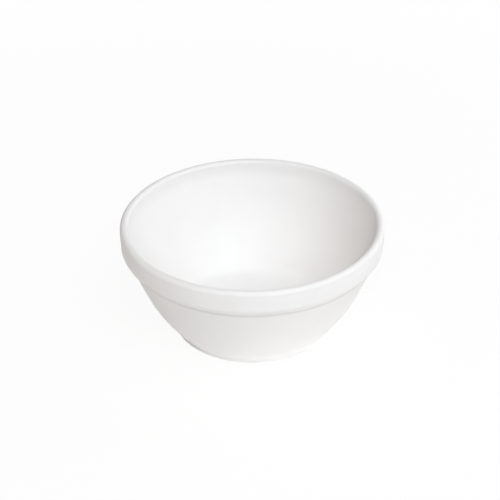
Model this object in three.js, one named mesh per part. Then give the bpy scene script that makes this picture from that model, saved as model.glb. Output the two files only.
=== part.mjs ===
// A stackable porcelain soup bowl. A fired body on a low foot ring carries a stacking band under a
// full-round rim, and a glassy glaze covers all of it but the narrow ring that it stands on.
// Millimetres and degrees, +Z up, origin at the centre of the standing ring, on the table.
import * as THREE from "three";

// Overall size, measured over the glaze
const rimDiameter = 140;
const bowlHeight = 62;

// Rim and stacking band
const rimThickness = 4.3;
const bandHeight = 14.8;
const bandProud = 3.1;
const bandDraft = 0.2;
const bandUndersideLean = 45;
const bandEdgeRadius = 4;
const creaseRadius = 2.5;

// Wall. It and its belly lean from the straight line between foot and crease, outwards positive
const wallThickness = 4.4;
const wallLean = -6.2;
const bellyLean = 13.6;
const bellyRadius = 100;

// Inside, where the belly leans from the same line
const lipLean = 9;
const shoulderRadius = 22;
const insideBellyLean = 4.6;
const floorThickness = 4;
const floorCornerRadius = 9;

// Foot ring, and the glazed well that it encloses
const footDiameter = 85.2;
const footHeight = 2.4;
const footFilletRadius = 0.7;
const footRingWidth = 4.6;
const footEdgeRadius = 0.3;
const wellDepth = 1.6;
const wellCornerRadius = 0.7;

// Glaze
const glazeThickness = 0.3;
const glazeBondGap = 0.02;
const glazeLineHeight = 0.4;

// Facets: turns of the revolved section, and how far an arc's chords may cut inside it
const revolveSegments = 52;
const chordTolerance = 0.08;

const point = (radius, height) => new THREE.Vector2(radius, height);
const radians = THREE.MathUtils.degToRad;

// A direction in the half section that climbs outwards, leaning from the vertical by an angle.
const leaning = (angle) => point(Math.sin(radians(angle)), Math.cos(radians(angle)));

// Where the line through a along u meets the line through b along v.
function meeting(a, u, b, v) {
  const along = b.clone().sub(a).cross(v) / u.cross(v);
  return a.clone().addScaledVector(u, along);
}

// How far a path turns at a point between its neighbours, left positive.
function turnAt(before, at, after) {
  const incoming = at.clone().sub(before);
  const outgoing = after.clone().sub(at);
  return Math.atan2(incoming.cross(outgoing), incoming.dot(outgoing));
}

// One rounded corner as points of an arc that starts and ends a tangent's length from it.
function roundedCorner(before, at, turn, tangent) {
  const incoming = at.clone().sub(before).normalize();
  const radius = tangent / Math.tan(Math.abs(turn) / 2);
  const start = at.clone().addScaledVector(incoming, -tangent);
  const toCentre = point(-incoming.y, incoming.x).multiplyScalar(Math.sign(turn) * radius);
  const centre = start.clone().add(toCentre);
  const stepAngle = 2 * Math.acos(Math.max(0, 1 - chordTolerance / radius));
  const steps = Math.ceil(Math.abs(turn) / stepAngle);
  return Array.from({ length: steps + 1 }, (_, step) =>
    start.clone().rotateAround(centre, (turn * step) / steps),
  );
}

// A polyline through corners, each rounded by its own radius. Where an edge is too short for the
// roundings at its two ends, they share it in proportion.
function filletedOutline(corners) {
  const last = corners.length - 1;
  const turns = corners.map(({ at }, i) =>
    i === 0 || i === last ? 0 : turnAt(corners[i - 1].at, at, corners[i + 1].at),
  );
  const wanted = corners.map(({ radius = 0 }, i) => radius * Math.tan(Math.abs(turns[i]) / 2));
  const share = (i, j) => Math.min(1, corners[i].at.distanceTo(corners[j].at) / (wanted[i] + wanted[j]));
  return corners.flatMap(({ at }, i) => {
    if (wanted[i] === 0) return [at];
    const tangent = wanted[i] * Math.min(share(i, i - 1), share(i, i + 1));
    return roundedCorner(corners[i - 1].at, at, turns[i], tangent);
  });
}

// The outline moved to its right by a distance, which is outwards for a section drawn from foot to rim.
function offsetOutline(outline, distance) {
  return outline.map((here, i) => {
    const before = outline[Math.max(i - 1, 0)];
    const after = outline[Math.min(i + 1, outline.length - 1)];
    const incoming = (i === 0 ? after : here).clone().sub(i === 0 ? here : before).normalize();
    const outgoing = after === here ? incoming : after.clone().sub(here).normalize();
    const mitre = point(incoming.y + outgoing.y, -incoming.x - outgoing.x);
    return here.clone().addScaledVector(mitre, (2 * distance) / mitre.lengthSq());
  });
}

// The fired body's own sizes, one coat of glaze inside the finished ones
const coat = glazeBondGap + glazeThickness;
const bodyRimRadius = rimDiameter / 2 - coat;
const bodyTop = bowlHeight - coat;
const bodyLipRadius = rimDiameter / 2 - rimThickness + coat;
const footOuter = footDiameter / 2 - coat;
const footInner = footOuter - footRingWidth;
const floorTop = wellDepth + floorThickness;

// Lines and corners of the half section
const bandFoot = bodyTop - bandHeight;
const bandFace = point(bodyRimRadius - bandDraft, bandFoot);
const creaseCorner = point(bandFace.x - bandProud, bandFoot);
const bandEdgeCorner = meeting(creaseCorner, leaning(bandUndersideLean), bandFace, leaning(0));
const footTop = point(footOuter, footHeight);
const flare = THREE.MathUtils.radToDeg(Math.atan2(creaseCorner.x - footTop.x, creaseCorner.y - footTop.y));
const wallUp = leaning(flare + wallLean);
const bellyUp = leaning(flare + bellyLean);
const bellyCorner = meeting(creaseCorner, wallUp, footTop, bellyUp);
const insideWall = point(-wallUp.y, wallUp.x).multiplyScalar(wallThickness).add(creaseCorner);
const insideBelly = point(-bellyUp.y, bellyUp.x).multiplyScalar(wallThickness).add(footTop);
const lipCorner = point(bodyLipRadius, bodyTop);
const shoulderCorner = meeting(lipCorner, leaning(lipLean), insideWall, wallUp);
const insideBellyUp = leaning(flare + insideBellyLean);
const bowlCorner = meeting(insideWall, wallUp, insideBelly, insideBellyUp);
const floorCorner = meeting(insideBelly, insideBellyUp, point(0, floorTop), point(1, 0));
const rimRound = (bodyRimRadius - bodyLipRadius) / 2;

// The underside of the well, from the axis out to the glaze line inside the foot ring
const wellOutline = filletedOutline([
  { at: point(0, wellDepth) },
  { at: point(footInner, wellDepth), radius: wellCornerRadius },
  { at: point(footInner, glazeLineHeight) },
]);

// The bare ring that stands on the table, between its two glaze lines
const standingOutline = filletedOutline([
  { at: point(footInner, glazeLineHeight) },
  { at: point(footInner, 0), radius: footEdgeRadius },
  { at: point(footOuter, 0), radius: footEdgeRadius },
  { at: point(footOuter, glazeLineHeight) },
]);

// From the outer glaze line up the wall, over the band and the rim, and down the inside to the axis
const wallOutline = filletedOutline([
  { at: point(footOuter, glazeLineHeight) },
  { at: footTop, radius: footFilletRadius },
  { at: bellyCorner, radius: bellyRadius },
  { at: creaseCorner, radius: creaseRadius },
  { at: bandEdgeCorner, radius: bandEdgeRadius },
  { at: point(bodyRimRadius, bodyTop), radius: rimRound },
  { at: lipCorner, radius: rimRound },
  { at: shoulderCorner, radius: shoulderRadius },
  { at: bowlCorner, radius: bellyRadius },
  { at: floorCorner, radius: floorCornerRadius },
  { at: point(0, floorTop) },
]);

// A closed half section turned about the axis, stood up on +Z.
function revolved(name, section, material) {
  const geometry = new THREE.LatheGeometry(section, revolveSegments).rotateX(Math.PI / 2);
  const mesh = new THREE.Mesh(geometry, material);
  mesh.name = name;
  return mesh;
}

// A coat of glaze over a stretch of the body's outline, its section starting and ending on the axis.
function glazed(name, outline, material) {
  const surface = offsetOutline(outline, coat);
  const bonded = offsetOutline(outline, glazeBondGap).reverse();
  const startsOnAxis = outline[0].x === 0;
  return revolved(name, startsOnAxis ? [...surface, ...bonded] : [...bonded, ...surface], material);
}

const bisque = new THREE.MeshStandardMaterial({ color: 0xe9e5dc, roughness: 0.6, metalness: 0 });
const whiteGlaze = new THREE.MeshStandardMaterial({ color: 0xf6f5f2, roughness: 0.12, metalness: 0 });

const bodySection = [...wellOutline, ...standingOutline.slice(1), ...wallOutline.slice(1)];

const bowl = new THREE.Group();
bowl.add(
  revolved("porcelain_body", bodySection, bisque),
  glazed("glaze_coat", wallOutline, whiteGlaze),
  glazed("foot_well_glaze", wellOutline, whiteGlaze),
);

export default bowl;
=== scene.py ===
"""A white glazed soup bowl on a pale floor: fine revolved surfaces with their glaze and bare porcelain,
the light round them and the photograph's camera."""
import math

import bpy
import numpy as np
from mathutils import Matrix, Vector


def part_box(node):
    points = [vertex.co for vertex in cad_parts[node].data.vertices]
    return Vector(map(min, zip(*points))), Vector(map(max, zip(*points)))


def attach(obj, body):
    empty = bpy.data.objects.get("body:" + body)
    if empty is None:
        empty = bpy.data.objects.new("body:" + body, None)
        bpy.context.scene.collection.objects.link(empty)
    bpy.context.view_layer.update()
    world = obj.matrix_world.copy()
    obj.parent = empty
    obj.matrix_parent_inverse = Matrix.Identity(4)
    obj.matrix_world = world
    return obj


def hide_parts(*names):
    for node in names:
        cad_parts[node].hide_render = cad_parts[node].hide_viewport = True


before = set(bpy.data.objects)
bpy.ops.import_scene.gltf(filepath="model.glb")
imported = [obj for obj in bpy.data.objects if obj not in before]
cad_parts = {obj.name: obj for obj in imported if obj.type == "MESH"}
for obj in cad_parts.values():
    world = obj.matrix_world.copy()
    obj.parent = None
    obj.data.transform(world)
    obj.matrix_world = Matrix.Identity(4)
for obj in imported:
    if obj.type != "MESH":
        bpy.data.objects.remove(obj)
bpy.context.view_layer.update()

MM = 0.001

# Overall sizes of the solids in millimetres, read from the frame
RIM_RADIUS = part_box("glaze_coat")[1].x / MM
BOWL_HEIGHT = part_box("glaze_coat")[1].z / MM
COAT = BOWL_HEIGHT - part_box("porcelain_body")[1].z / MM
GLAZE_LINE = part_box("glaze_coat")[0].z / MM
WELL_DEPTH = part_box("foot_well_glaze")[1].z / MM

# Sizes of the section in millimetres and degrees, as in the solids. The wall and the bellies lean from
# the straight line between foot and crease, the lip and the band's underside from the vertical
RIM_THICKNESS = 4.3
BAND_HEIGHT = 14.8
BAND_PROUD = 3.1
BAND_DRAFT = 0.2
BAND_UNDERSIDE_LEAN = 45
BAND_EDGE_RADIUS = 4
CREASE_RADIUS = 2.5
WALL_THICKNESS = 4.4
WALL_LEAN = -6.2
BELLY_LEAN = 13.6
BELLY_RADIUS = 100
LIP_LEAN = 9
SHOULDER_RADIUS = 22
INSIDE_BELLY_LEAN = 4.6
FLOOR_THICKNESS = 4
FLOOR_CORNER_RADIUS = 9
FOOT_RADIUS = 42.6
FOOT_HEIGHT = 2.4
FOOT_FILLET_RADIUS = 0.7
FOOT_RING_WIDTH = 4.6
FOOT_EDGE_RADIUS = 0.3
WELL_CORNER_RADIUS = 0.7
GLAZE_BOND_GAP = 0.02

# Fineness of the revolved surfaces: steps of an arc, the longest step along a straight run in millimetres,
# steps of a full turn, and the distance in millimetres that counts as none
ARC_STEPS = 12
SECTION_SPACING = 1.6
TURN_STEPS = 240
NEGLIGIBLE = 1e-6

# How the section's bends thin the glaze over sharp edges and set a painted shade in tight hollows: the
# widest bend that counts, in millimetres of radius, how far its effect spreads along the section in
# millimetres, and the turn, in radians to the millimetre, at which it is strongest
WIDEST_BEND = 5.0
BEND_SPREAD = 1.2
STRONGEST_TURN = 0.2

# The middle of the noise, over which one tone turns into another
NOISE_RANGE = (0.3, 0.7)

# The glaze: its colours and gloss, the waves to the metre of its clouds and its grain with their heights in
# millimetres and the roughness that they add, the bend at which it runs thin, the bend at which a painted
# shade greys it in the crease, and the heights in metres over which that painted shade sets in above the
# foot
GLAZE_WHITE = (0.885, 0.875, 0.855, 1)
GLAZE_WHITEST = (0.895, 0.886, 0.868, 1)
GLAZE_THIN = (0.868, 0.855, 0.83, 1)
GLAZE_CREASE_SHADE = (0.768, 0.76, 0.745, 1)
GLAZE_ROUGHNESS = 0.5
GLAZE_IOR = 1.4
CLOUD_WAVES = 45.0
CLOUD_HEIGHT = 0.03
CLOUD_ROUGHNESS = 0.04
GLAZE_GRAIN_WAVES = 900.0
GLAZE_GRAIN_HEIGHT = 0.0008
GLAZE_GRAIN_RANGE = (0.55, 0.75)
GLAZE_GRAIN_ROUGHNESS = 0.03
THIN_RANGE = (0.25, 1.0)
THIN_SHARE = 0.5
CREASE_SHADE_RANGE = (0.1, 0.5)
CREASE_SHADE_HEIGHTS = (0.01, 0.02)

# The bare porcelain: its colours and dullness, the waves to the metre of its grain with their height in
# millimetres and the roughness that they add, the waves and spread of its rubbed patches, the height in
# millimetres up to which it rubs, and how far rubbing greys and smooths it
PORCELAIN_DARK = (0.8, 0.775, 0.725, 1)
PORCELAIN_LIGHT = (0.85, 0.83, 0.785, 1)
PORCELAIN_RUBBED = (0.66, 0.645, 0.615, 1)
PORCELAIN_ROUGHNESS = 0.62
PORCELAIN_IOR = 1.5
PORCELAIN_GRAIN_WAVES = 2600.0
PORCELAIN_GRAIN_HEIGHT = 0.03
PORCELAIN_GRAIN_ROUGHNESS = 0.2
PATCH_WAVES = 160.0
PATCH_RANGE = (0.4, 0.65)
RUBBED_HEIGHT = 0.25
RUBBED_SHARE = 0.45
RUBBED_SMOOTHNESS = 0.12

# The camera, as fitted to the photograph's 500 pixel frame
FRAME_PIXELS = 500
SENSOR_WIDTH = 36
VIEW_ELEVATION = math.radians(30.86)
VIEW_DISTANCE = 0.805
FOCAL_PIXELS = 1523.2
RIM_CENTRE_PIXEL = (252.16, 220.57)
VIEW_ROLL = -0.0102

# The floor: half its width in metres, its colour, how white the camera sees it near the bowl, the distances
# in metres between which it turns wholly white, and how white it is in reflections
FLOOR_HALF = 4.0
FLOOR_COLOUR = (0.97, 0.955, 0.93, 1)
FLOOR_WHITENESS = 0.92
FLOOR_WHITENING = (0.15, 0.6)
FLOOR_GLOSSY_SHARE = 0.45

# The backdrop: the light that it gives, and how white it is in reflections
PURE_WHITE = (1, 1, 1, 1)
BACKDROP_LIGHT = 0.01
BACKDROP_GLOSSY_SHARE = 0.2

# The softboxes' distance in metres, the height of the discs of light in millimetres, and the lamps' colours
LAMP_DISTANCE = 1.4
GLOW_HEIGHT = 0.2
COOL_WHITE = (0.917, 0.952, 1.0)
COLD_WHITE = (0.77, 0.86, 1.0)
WARM_WHITE = (1.0, 0.88, 0.815)


def leaning(degrees):
    """A unit direction in the half section that climbs outwards, leaning from the vertical by an angle."""
    return np.array([math.sin(math.radians(degrees)), math.cos(math.radians(degrees))])


def cross(a, b):
    """The signed area spanned by two vectors of the half section."""
    return a[..., 0] * b[..., 1] - a[..., 1] * b[..., 0]


def meeting(a, u, b, v):
    """Where the line through a along u meets the line through b along v."""
    return a + u * cross(b - a, v) / cross(u, v)


def filleted(corners):
    """A polyline through corners (radius, height, rounding). Each inner corner gives way to the arc of that
    rounding which touches both of its edges: its start, turned about the arc's centre by growing shares of
    the corner's turn. Where an edge is too short for its two roundings, they share it in proportion."""
    corners = np.array(corners, float)
    at, rounding = corners[:, :2], corners[:, 2]
    edges = np.diff(at, axis=0)
    lengths = np.linalg.norm(edges, axis=1)
    ways = edges / lengths[:, None]
    incoming, outgoing = ways[:-1], ways[1:]
    turn = np.arctan2(cross(incoming, outgoing), (incoming * outgoing).sum(1))
    half = np.tan(np.abs(turn) / 2)
    wanted = np.concatenate([[0], rounding[1:-1] * half, [0]])
    share = np.minimum(1, lengths / np.maximum(wanted[:-1] + wanted[1:], NEGLIGIBLE))
    tangent = wanted[1:-1] * np.minimum(share[:-1], share[1:])
    start = at[1:-1] - incoming * tangent[:, None]
    to_centre = np.sign(turn) * tangent / half
    centre = start + np.stack([-incoming[:, 1], incoming[:, 0]], 1) * to_centre[:, None]
    angle = turn[:, None] * np.linspace(0, 1, ARC_STEPS + 1)
    spoke = (start - centre)[:, None]
    turned = np.stack(
        [
            spoke[..., 0] * np.cos(angle) - spoke[..., 1] * np.sin(angle),
            spoke[..., 0] * np.sin(angle) + spoke[..., 1] * np.cos(angle),
        ],
        -1,
    )
    arcs = centre[:, None] + turned
    path = np.vstack([at[:1], arcs.reshape(-1, 2), at[-1:]])
    apart = np.linalg.norm(np.diff(path, axis=0), axis=1) > NEGLIGIBLE
    return path[np.append(True, apart)]


def spaced(outline):
    """The same polyline with its straight runs cut into equal parts within the section spacing."""
    steps = np.diff(outline, axis=0)
    parts = np.ceil(np.linalg.norm(steps, axis=1) / SECTION_SPACING).astype(int)
    run = np.repeat(np.arange(len(parts)), parts)
    share = (np.arange(parts.sum()) - (np.cumsum(parts) - parts)[run]) / parts[run]
    return np.vstack([outline[run] + share[:, None] * steps[run], outline[-1:]])


def offset(outline, distance):
    """The polyline moved to its right by a distance, along the mitre of the edges at each point."""
    ways = np.diff(outline, axis=0)
    ways /= np.linalg.norm(ways, axis=1)[:, None]
    mitre = np.vstack([ways[:1], ways]) + np.vstack([ways, ways[-1:]])
    outward = np.stack([mitre[:, 1], -mitre[:, 0]], 1)
    return outline + outward * (2 * distance / (mitre**2).sum(1))[:, None]


def edge_bead(surface_end, bonded_end):
    """The rounded edge of a coat: a half circle from one face to the other, bulging towards the table."""
    middle = (surface_end + bonded_end) / 2
    spoke = surface_end - middle
    angle = np.linspace(0, math.pi, ARC_STEPS + 1)[1:-1, None]
    down = np.array([0, -np.linalg.norm(spoke)])
    return middle + spoke * np.cos(angle) + down * np.sin(angle)


def body_outlines():
    """The fired body's half section in three stretches: under the well, round the bare foot, and up the
    wall, over the rim and down the inside. Lines are set by a lean and a point, and corners are where they
    meet."""
    rim = RIM_RADIUS - COAT
    top = BOWL_HEIGHT - COAT
    foot = FOOT_RADIUS - COAT
    foot_inside = foot - FOOT_RING_WIDTH
    well = WELL_DEPTH + GLAZE_BOND_GAP
    floor = well + FLOOR_THICKNESS
    band_face = np.array([rim - BAND_DRAFT, top - BAND_HEIGHT])
    crease = band_face - [BAND_PROUD, 0]
    band_edge = meeting(crease, leaning(BAND_UNDERSIDE_LEAN), band_face, leaning(0))
    foot_top = np.array([foot, FOOT_HEIGHT])
    flare = math.degrees(math.atan2(*(crease - foot_top)))
    wall_up, belly_up = leaning(flare + WALL_LEAN), leaning(flare + BELLY_LEAN)
    belly = meeting(crease, wall_up, foot_top, belly_up)
    inside_wall = crease + np.array([-wall_up[1], wall_up[0]]) * WALL_THICKNESS
    inside_belly = foot_top + np.array([-belly_up[1], belly_up[0]]) * WALL_THICKNESS
    lip = np.array([RIM_RADIUS - RIM_THICKNESS + COAT, top])
    shoulder = meeting(lip, leaning(LIP_LEAN), inside_wall, wall_up)
    inside_belly_up = leaning(flare + INSIDE_BELLY_LEAN)
    bowl_corner = meeting(inside_wall, wall_up, inside_belly, inside_belly_up)
    floor_corner = meeting(inside_belly, inside_belly_up, np.array([0, floor]), np.array([1, 0]))
    rim_round = (rim - lip[0]) / 2
    under_well = [
        (0, well, 0),
        (foot_inside, well, WELL_CORNER_RADIUS),
        (foot_inside, GLAZE_LINE, 0),
    ]
    bare_foot = [
        (foot_inside, GLAZE_LINE, 0),
        (foot_inside, 0, FOOT_EDGE_RADIUS),
        (foot, 0, FOOT_EDGE_RADIUS),
        (foot, GLAZE_LINE, 0),
    ]
    wall = [
        (foot, GLAZE_LINE, 0),
        (*foot_top, FOOT_FILLET_RADIUS),
        (*belly, BELLY_RADIUS),
        (*crease, CREASE_RADIUS),
        (*band_edge, BAND_EDGE_RADIUS),
        (rim, top, rim_round),
        (*lip, rim_round),
        (*shoulder, SHOULDER_RADIUS),
        (*bowl_corner, BELLY_RADIUS),
        (*floor_corner, FLOOR_CORNER_RADIUS),
        (0, floor, 0),
    ]
    return [spaced(filleted(stretch)) for stretch in (under_well, bare_foot, wall)]


def thinning_and_crease_shade(section):
    """How sharply a section bends, which thins the glaze on sharp edges and sets a painted shade in tight
    hollows: the turns that are tighter than the widest bend, spread along the section by a bell curve of the
    bend spread, and squeezed between -1 on sharp edges and 1 in tight hollows."""
    steps = np.diff(section, axis=0)
    lengths = np.linalg.norm(steps, axis=1)
    ways = steps / lengths[:, None]
    turn = np.zeros(len(section))
    turn[1:-1] = np.arctan2(cross(ways[:-1], ways[1:]), (ways[:-1] * ways[1:]).sum(1))
    around = np.minimum(lengths[:-1], lengths[1:])
    turn[1:-1] *= np.abs(turn[1:-1]) * WIDEST_BEND > around
    along = np.concatenate([[0], np.cumsum(lengths)])
    bell = np.exp(-0.5 * ((along[:, None] - along[None]) / BEND_SPREAD) ** 2)
    spread = bell @ turn / (BEND_SPREAD * math.sqrt(2 * math.pi))
    return -np.tanh(spread / STRONGEST_TURN)


def revolved(name, section):
    """A closed section turned about the axis: its point (r, z) at angle a is (r cos a, r sin a, z). The
    section starts and ends on the axis, in two poles, and the surface carries how sharply the section bends,
    which thins the glaze on edges and sets a painted shade in hollows."""
    ring = section[1:-1]
    angle = np.arange(TURN_STEPS) * (2 * math.pi / TURN_STEPS)
    radius, height = ring[:, :1], ring[:, 1:]
    grid = np.stack([radius * np.cos(angle), radius * np.sin(angle), height + 0 * angle], -1)
    poles = np.array([[0, 0, section[0, 1]], [0, 0, section[-1, 1]]])
    index = np.arange(len(ring) * TURN_STEPS).reshape(len(ring), TURN_STEPS)
    beside = np.roll(index, -1, axis=1)
    quads = np.stack([index[:-1], beside[:-1], beside[1:], index[1:]], -1).reshape(-1, 4)
    first_pole = np.full(TURN_STEPS, index.size)
    fans = [
        np.stack([first_pole, beside[0], index[0]], -1),
        np.stack([first_pole + 1, index[-1], beside[-1]], -1),
    ]
    mesh = bpy.data.meshes.new(name)
    points = np.vstack([grid.reshape(-1, 3), poles]) * MM
    mesh.from_pydata(points, [], quads.tolist() + np.vstack(fans).tolist())
    mesh.polygons.foreach_set("use_smooth", np.ones(len(mesh.polygons), bool))
    # The bend field thins the glaze on sharp edges and places the painted shade in tight hollows
    thinning_and_shade = thinning_and_crease_shade(section)
    per_point = np.concatenate([np.repeat(thinning_and_shade[1:-1], TURN_STEPS), thinning_and_shade[[0, -1]]])
    thinning_and_shade_layer = mesh.attributes.new("thinning_and_crease_shade", "FLOAT", "POINT")
    thinning_and_shade_layer.data.foreach_set("value", per_point.astype(np.float32))
    piece = bpy.data.objects.new(name, mesh)
    bpy.context.scene.collection.objects.link(piece)
    return piece


class Value:
    """One output of a shader node. Arithmetic on it adds Math nodes, so shader maths reads as Python."""

    def __init__(self, shader, socket):
        self.shader = shader
        self.socket = socket

    def maths(self, operation, *terms):
        return self.shader.node("ShaderNodeMath", {"operation": operation}, dict(enumerate(terms)))

    def __add__(self, other):
        return self.maths("ADD", self, other)

    def __sub__(self, other):
        return self.maths("SUBTRACT", self, other)

    def __mul__(self, other):
        return self.maths("MULTIPLY", self, other)

    def __rsub__(self, other):
        return self.maths("SUBTRACT", other, self)

    __radd__ = __add__
    __rmul__ = __mul__


class Shader:
    """A node tree that is written as expressions."""

    def __init__(self, tree):
        self.tree = tree
        tree.nodes.clear()

    def node(self, kind, settings=None, sockets=None, output=0):
        """Adds a node with its settings and the values or links of its sockets. Gives one output back."""
        made = self.tree.nodes.new(kind)
        for name, value in (settings or {}).items():
            setattr(made, name, value)
        for key, value in (sockets or {}).items():
            if isinstance(value, Value):
                self.tree.links.new(value.socket, made.inputs[key])
            else:
                made.inputs[key].default_value = value
        return Value(self, made.outputs[output]) if made.outputs else None

    def blend(self, factor, a, b):
        """The colour a turning into the colour b. This node's sockets share names, so they go by number."""
        return self.node("ShaderNodeMix", {"data_type": "RGBA"}, {0: factor, 6: a, 7: b}, 2)

    def smooth(self, value, low, high):
        """0 below low, 1 above high, and an S curve between."""
        sockets = {"Value": value, "From Min": low, "From Max": high}
        return self.node("ShaderNodeMapRange", {"interpolation_type": "SMOOTHSTEP"}, sockets)

    def noise(self, place, scale, detail=2.0):
        """Soft noise about 0.5 at a number of waves to the metre."""
        return self.node("ShaderNodeTexNoise", {}, {"Vector": place, "Scale": scale, "Detail": detail})

    def place(self):
        """Object coordinates, in metres."""
        return self.node("ShaderNodeTexCoord", output="Object")

    def height(self, place):
        """The height of a place above the table, in metres."""
        return self.node("ShaderNodeSeparateXYZ", {}, {"Vector": place}, "Z")

    def bump(self, height):
        """The surface's direction when it is raised by a height in millimetres."""
        return self.node("ShaderNodeBump", {}, {"Height": height, "Distance": MM, "Strength": 1.0})

    def surface(self, shader):
        self.node("ShaderNodeOutputMaterial", {}, {"Surface": shader})


def new_material(name):
    material = bpy.data.materials.new(name)
    material.use_nodes = True
    return material, Shader(material.node_tree)


def white_glaze():
    """Clean white glaze with a soft gloss: a trace warmer where it runs thin over edges, greyed by a painted
    shade in the crease, with the faint waviness and tone of a fired coat."""
    material, shader = new_material("white glaze")
    place = shader.place()
    thinning_and_shade = shader.node("ShaderNodeAttribute", {"attribute_name": "thinning_and_crease_shade"}, output="Fac")
    cloud = shader.noise(place, CLOUD_WAVES)
    grain = shader.noise(place, GLAZE_GRAIN_WAVES)
    toned = shader.blend(shader.smooth(cloud, *NOISE_RANGE), GLAZE_WHITE, GLAZE_WHITEST)
    thin = shader.smooth(0.0 - thinning_and_shade, *THIN_RANGE) * THIN_SHARE
    above_foot = shader.smooth(shader.height(place), *CREASE_SHADE_HEIGHTS)
    # Painted shade: the glaze is greyed in tight hollows, which is the crease under the band, to stand for
    # the shade there
    crease_shade = shader.smooth(thinning_and_shade, *CREASE_SHADE_RANGE) * above_foot
    colour = shader.blend(crease_shade, shader.blend(thin, toned, GLAZE_THIN), GLAZE_CREASE_SHADE)
    grainy = shader.smooth(grain, *GLAZE_GRAIN_RANGE)
    roughness = GLAZE_ROUGHNESS + cloud * CLOUD_ROUGHNESS + grainy * GLAZE_GRAIN_ROUGHNESS
    wavy = shader.bump(cloud * CLOUD_HEIGHT + grain * GLAZE_GRAIN_HEIGHT)
    sockets = {"Base Color": colour, "Roughness": roughness, "IOR": GLAZE_IOR, "Normal": wavy}
    shader.surface(shader.node("ShaderNodeBsdfPrincipled", {}, sockets))
    return material


def bare_porcelain():
    """Unglazed porcelain: warm, matt and fine-grained, greyed where the standing face rubs on tables."""
    material, shader = new_material("bare porcelain")
    place = shader.place()
    grain = shader.noise(place, PORCELAIN_GRAIN_WAVES, 3.0)
    patch = shader.noise(place, PATCH_WAVES)
    standing = 1.0 - shader.smooth(shader.height(place), 0.0, RUBBED_HEIGHT * MM)
    rubbed = standing * shader.smooth(patch, *PATCH_RANGE)
    warm = shader.blend(shader.smooth(grain, *NOISE_RANGE), PORCELAIN_DARK, PORCELAIN_LIGHT)
    colour = shader.blend(rubbed * RUBBED_SHARE, warm, PORCELAIN_RUBBED)
    dulled = PORCELAIN_ROUGHNESS + grain * PORCELAIN_GRAIN_ROUGHNESS
    roughness = dulled - rubbed * RUBBED_SMOOTHNESS
    grainy = shader.bump(grain * PORCELAIN_GRAIN_HEIGHT)
    sockets = {"Base Color": colour, "Roughness": roughness, "IOR": PORCELAIN_IOR, "Normal": grainy}
    shader.surface(shader.node("ShaderNodeBsdfPrincipled", {}, sockets))
    return material


def make_bowl():
    """The three pieces of the bowl, each in place of its solid."""
    under_well, bare_foot, wall = body_outlines()
    body = np.vstack([under_well, bare_foot[1:], wall[1:]])
    wall_face, wall_bond = offset(wall, COAT), offset(wall, GLAZE_BOND_GAP)
    well_face, well_bond = offset(under_well, COAT), offset(under_well, GLAZE_BOND_GAP)
    coat = np.vstack([wall_bond[::-1], edge_bead(wall_bond[0], wall_face[0]), wall_face])
    well = np.vstack([well_face, edge_bead(well_face[-1], well_bond[-1]), well_bond[::-1]])
    glaze = white_glaze()
    pieces = [
        ("bowl_glaze", coat, "glaze_coat", "white_glaze", glaze),
        ("well_glaze", well, "foot_well_glaze", "white_glaze", glaze),
        ("bowl_body", body, "porcelain_body", "bare_porcelain", bare_porcelain()),
    ]
    for name, section, node, slot, material in pieces:
        piece = revolved(name, section)
        piece.data.materials.append(material)
        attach(piece, "root")
        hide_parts(node)


def background(shader, lit, white_share, glossy_share):
    """What a stage surface shows: as lit for the light that it throws back, and whiter by a share to the
    camera, also through clear things, and by another in reflections."""
    camera, through, glossy = (
        shader.node("ShaderNodeLightPath", output=kind)
        for kind in ("Is Camera Ray", "Is Transmission Ray", "Is Glossy Ray")
    )
    white = shader.node("ShaderNodeEmission", {}, {"Color": PURE_WHITE, "Strength": 1.0})
    share = (camera + through) * white_share + glossy * glossy_share
    return shader.node("ShaderNodeMixShader", {}, {0: share, 1: lit, 2: white})


def make_floor():
    """A pale floor that keeps a soft trace of the bowl's shadow and whitens far from it."""
    corners = np.array([[-1, -1, 0], [1, -1, 0], [1, 1, 0], [-1, 1, 0]]) * FLOOR_HALF
    mesh = bpy.data.meshes.new("floor")
    mesh.from_pydata(corners, [], [(0, 1, 2, 3)])
    floor = bpy.data.objects.new("floor", mesh)
    bpy.context.scene.collection.objects.link(floor)
    material, shader = new_material("pale floor")
    lit = shader.node("ShaderNodeBsdfDiffuse", {}, {"Color": FLOOR_COLOUR})
    away = shader.node("ShaderNodeVectorMath", {"operation": "LENGTH"}, {0: shader.place()}, "Value")
    whiteness = FLOOR_WHITENESS + shader.smooth(away, *FLOOR_WHITENING) * (1 - FLOOR_WHITENESS)
    shader.surface(background(shader, lit, whiteness, FLOOR_GLOSSY_SHARE))
    mesh.materials.append(material)


def make_world():
    """A white backdrop all round, which adds next to no light of its own."""
    world = bpy.data.worlds.new("studio")
    world.use_nodes = True
    bpy.context.scene.world = world
    shader = Shader(world.node_tree)
    lit = shader.node("ShaderNodeBackground", {}, {"Color": PURE_WHITE, "Strength": BACKDROP_LIGHT})
    seen = background(shader, lit, 1.0, BACKDROP_GLOSSY_SHARE)
    shader.node("ShaderNodeOutputWorld", {}, {"Surface": seen})


def area_lamp(name, shape, place, facing, size, watts, colour):
    """A flat lamp at a place, shining along a direction. Its size is in metres."""
    lamp = bpy.data.lights.new(name, "AREA")
    lamp.shape = shape
    lamp.size = size
    lamp.energy = watts
    lamp.color = colour
    holder = bpy.data.objects.new(name, lamp)
    turned = facing.to_track_quat("-Z", "Y").to_matrix().to_4x4()
    holder.matrix_world = Matrix.Translation(place) @ turned
    bpy.context.scene.collection.objects.link(holder)


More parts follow.
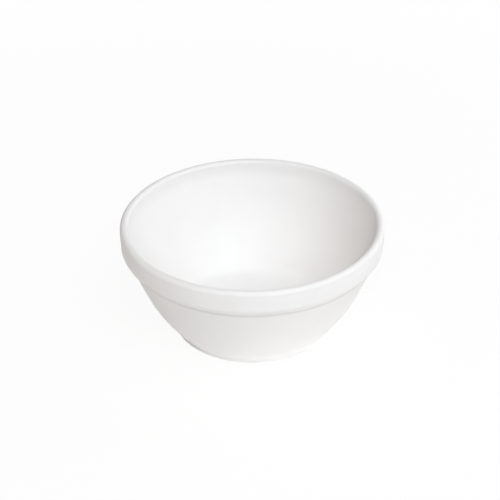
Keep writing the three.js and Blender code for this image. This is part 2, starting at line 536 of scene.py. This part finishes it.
def softbox(name, azimuth, elevation, size, watts, colour):
    """A lamp that faces the bowl. Azimuth 0 is the camera's side, and 90 the right of the picture."""
    turn = math.radians(azimuth)
    rise = math.radians(elevation)
    away = Vector((math.sin(turn) * math.cos(rise), -math.cos(turn) * math.cos(rise), math.sin(rise)))
    place = Vector((0, 0, BOWL_HEIGHT * MM / 2)) + away * LAMP_DISTANCE
    area_lamp(name, "SQUARE", place, -away, size, watts, colour)


def floor_glow(name, across, deep, size, watts):
    """A faint disc of light on the floor, shining upwards. Its centre is in millimetres."""
    place = Vector((across, deep, GLOW_HEIGHT)) * MM
    area_lamp(name, "DISK", place, Vector((0, 0, 1)), size, watts, COOL_WHITE)


def make_lamps():
    """Softboxes round the bowl, and two discs of light at its foot that brighten its base to the right."""
    softbox("key softbox", azimuth=24, elevation=56, size=1.6, watts=19.5, colour=COOL_WHITE)
    softbox("front softbox", azimuth=24, elevation=26, size=1.0, watts=3.3, colour=COOL_WHITE)
    softbox("right softbox", azimuth=105, elevation=30, size=1.0, watts=4.3, colour=WARM_WHITE)
    softbox("back softbox", azimuth=140, elevation=16, size=0.9, watts=5.6, colour=COLD_WHITE)
    softbox("left softbox", azimuth=-75, elevation=40, size=1.0, watts=4.3, colour=WARM_WHITE)
    floor_glow("wide disc", across=8, deep=-16, size=0.12, watts=0.005)
    floor_glow("foot disc", across=6, deep=-6, size=0.087, watts=0.0044)


def make_camera():
    """The photograph's camera: it stands off from the rim's centre by the fitted elevation and distance, and
    is turned and rolled until that centre falls on its pixel."""
    back = np.array([0, -math.cos(VIEW_ELEVATION), math.sin(VIEW_ELEVATION)])
    right = np.array([1.0, 0, 0])
    up = np.cross(back, right)
    place = np.array([0, 0, BOWL_HEIGHT * MM]) + back * VIEW_DISTANCE
    rolled_right = math.cos(VIEW_ROLL) * right + math.sin(VIEW_ROLL) * up
    rolled_up = math.cos(VIEW_ROLL) * up - math.sin(VIEW_ROLL) * right
    across = RIM_CENTRE_PIXEL[0] - FRAME_PIXELS / 2
    above = FRAME_PIXELS / 2 - RIM_CENTRE_PIXEL[1]
    aim = -back * FOCAL_PIXELS - rolled_right * across - rolled_up * above
    backward = -aim / np.linalg.norm(aim)
    sideways = np.cross(rolled_up, backward)
    sideways /= np.linalg.norm(sideways)
    axes = np.stack([sideways, np.cross(backward, sideways), backward], 1)
    camera = bpy.data.cameras.new("photograph's view")
    camera.sensor_width = SENSOR_WIDTH
    camera.lens = FOCAL_PIXELS / FRAME_PIXELS * SENSOR_WIDTH
    holder = bpy.data.objects.new("photograph's view", camera)
    holder.matrix_world = Matrix.Translation(place) @ Matrix(axes.tolist()).to_4x4()
    bpy.context.scene.collection.objects.link(holder)
    bpy.context.scene.camera = holder


make_bowl()
make_floor()
make_world()
make_lamps()
make_camera()
bpy.context.scene.view_settings.view_transform = "Standard"
